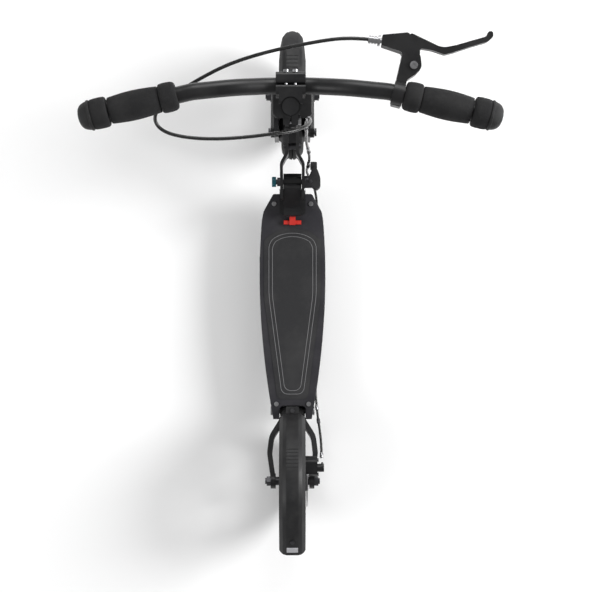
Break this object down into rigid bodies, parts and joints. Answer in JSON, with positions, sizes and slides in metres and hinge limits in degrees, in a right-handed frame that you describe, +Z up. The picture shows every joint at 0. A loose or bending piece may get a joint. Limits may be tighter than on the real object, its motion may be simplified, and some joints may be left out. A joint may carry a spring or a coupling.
{
  "type": "electric kick scooter",
  "caption": "Folding two-wheeled kick scooter with a narrow deck, swept handlebar on a telescopic stem, sprung wheels, a disc brake and a hub motor.",
  "frame": {"origin": "on the ground below the middle of the scooter, half way between the tyre nose and the rear mudguard tip", "axes": "+X to the rider's right, +Y forward, +Z up"},
  "size_m": [0.5562, 1.0276, 1.0119],
  "materials": {
    "black_metal": "satin black powder coat",
    "anthracite_metal": "matt anthracite powder coat",
    "grit_tape": "gritty anti-slip sheet",
    "tyre_rubber": "matt tyre rubber",
    "black_plastic": "fine textured black plastic",
    "battery_wrap": "shrink wrap",
    "foam_grip": "fine closed-cell foam",
    "soft_rubber": "satin rubber",
    "teal_trim": "satin teal",
    "red_trim": "satin red",
    "steel": "zinc-plated and ground",
    "grey_reflector": "prismatic reflector"
  },
  "bodies": {
    "deck": {"deck_tray": "anthracite_metal", "deck_plate": "black_metal", "deck_bolts": "steel", "grip_tape": "grit_tape", "battery_pack": "battery_wrap", "motor_controller": "black_plastic", "charge_socket": "black_plastic", "neck_block": "black_metal", "cable_deck": "soft_rubber"},
    "stand": {"stand_leg": "black_metal"},
    "button": {"power_button": "black_plastic"},
    "pedal": {"fold_pedal": "black_metal"},
    "latch": {"red_latch": "red_trim"},
    "front_frame": {"fold_axle": "steel", "fold_knob": "teal_trim", "side_plates": "black_metal", "head_tube": "black_metal", "head_bearings": "steel", "frame_spacers": "steel", "cable_frame": "soft_rubber"},
    "cam_lever": {"fold_lever": "black_plastic"},
    "steering": {"fork_crown": "black_metal", "fork_legs": "black_metal", "link_cartridges": "soft_rubber", "lower_stem_tube": "black_metal", "stem_clamps": "black_metal", "steering_bolts": "steel", "cable_column": "soft_rubber"},
    "clamp_lever": {"height_lever": "black_metal"},
    "front_link": {"link_arms": "black_metal", "front_axle": "steel", "front_fender": "black_plastic", "motor_stator": "steel"},
    "front_wheel": {"front_tyre": "tyre_rubber", "front_rim": "black_metal", "motor_covers": "black_metal", "front_bearings": "steel"},
    "rear_arm": {"rear_yoke": "black_metal", "rear_bushes": "soft_rubber", "rear_hardware": "steel", "rear_fender": "black_plastic", "reflector": "grey_reflector", "caliper_body": "black_metal", "cable_arm": "soft_rubber"},
    "rear_wheel": {"rear_tyre": "tyre_rubber", "rear_rim": "black_metal", "brake_rotor": "steel", "rear_bearings": "steel"},
    "upper_stem": {"inner_stem_tube": "black_metal", "stem_head": "black_metal", "bar_hardware": "steel", "stem_top_cap": "black_metal", "handlebar": "black_metal", "grips": "foam_grip", "grip_caps": "black_plastic", "end_discs": "teal_trim", "lever_bracket": "black_metal", "cable_bar": "soft_rubber"},
    "hand_lever": {"brake_lever": "black_metal"},
    "brake_arm": {"caliper_arm": "black_metal"}
  },
  "joints": [
    {"name": "fold", "type": "hinge", "parent": "deck", "child": "front_frame", "pos_m": [0, 0.21, 0.178], "axis": [1, 0, 0], "range_deg": [0, 80]},
    {"name": "fold_lever", "type": "hinge", "parent": "front_frame", "child": "cam_lever", "pos_m": [0.036, 0.21, 0.178], "axis": [0, 0, -1], "range_deg": [0, 60]},
    {"name": "steer", "type": "hinge", "parent": "front_frame", "child": "steering", "pos_m": [0, 0.35341, 0.3141], "axis": [0, -0.1742, 0.9847], "range_deg": [-50, 50]},
    {"name": "stem_height", "type": "slide", "parent": "steering", "child": "upper_stem", "axis": [0, -0.1742, 0.9847], "range_m": [-0.1, 0.04]},
    {"name": "height_lever", "type": "hinge", "parent": "steering", "child": "clamp_lever", "pos_m": [0, 0.25326, 0.73103], "axis": [-1, 0, 0], "range_deg": [0, 100]},
    {"name": "front_suspension", "type": "hinge", "parent": "steering", "child": "front_link", "pos_m": [0, 0.311, 0.15], "axis": [1, 0, 0], "range_deg": [0, 12], "stiffness_Nm_per_rad": 90, "springref_deg": -8.59},
    {"name": "front_wheel_spin", "type": "hinge", "parent": "front_link", "child": "front_wheel", "pos_m": [0, 0.3865, 0.127], "axis": [1, 0, 0], "continuous": true},
    {"name": "rear_suspension", "type": "hinge", "parent": "deck", "child": "rear_arm", "pos_m": [0, -0.247, 0.086], "axis": [-1, 0, 0], "range_deg": [0, 8], "stiffness_Nm_per_rad": 250, "springref_deg": -4.58},
    {"name": "rear_wheel_spin", "type": "hinge", "parent": "rear_arm", "child": "rear_wheel", "pos_m": [0, -0.3835, 0.127], "axis": [1, 0, 0], "continuous": true},
    {"name": "brake_lever", "type": "hinge", "parent": "upper_stem", "child": "hand_lever", "pos_m": [0.1604, 0.2868, 0.985], "axis": [0, 0, -1], "range_deg": [0, 20], "stiffness_Nm_per_rad": 1.5, "springref_deg": -5.73},
    {"name": "caliper_arm", "type": "hinge", "parent": "rear_arm", "child": "brake_arm", "pos_m": [0.056, -0.352, 0.163], "axis": [1, 0, 0], "range_deg": [0, 20], "stiffness_Nm_per_rad": 0.5, "springref_deg": -5.73},
    {"name": "fold_pedal", "type": "hinge", "parent": "deck", "child": "pedal", "pos_m": [0, 0.156, 0.121], "axis": [1, 0, 0], "range_deg": [0, 12], "stiffness_Nm_per_rad": 3, "springref_deg": -17.19},
    {"name": "safety_latch", "type": "slide", "parent": "deck", "child": "latch", "axis": [0, -1, 0], "range_m": [0, 0.004], "stiffness_N_per_m": 800, "springref_m": -0.002},
    {"name": "kickstand", "type": "hinge", "parent": "deck", "child": "stand", "pos_m": [-0.054, 0.096, 0.056], "axis": [1, 0, 0], "range_deg": [0, 75]},
    {"name": "power_button", "type": "slide", "parent": "deck", "child": "button", "axis": [1, 0, 0], "range_m": [0, 0.0014], "stiffness_N_per_m": 1000}
  ],
  "couplings": [
    {"joint": "caliper_arm", "follows": "brake_lever", "ratio": 0.9}
  ]
}
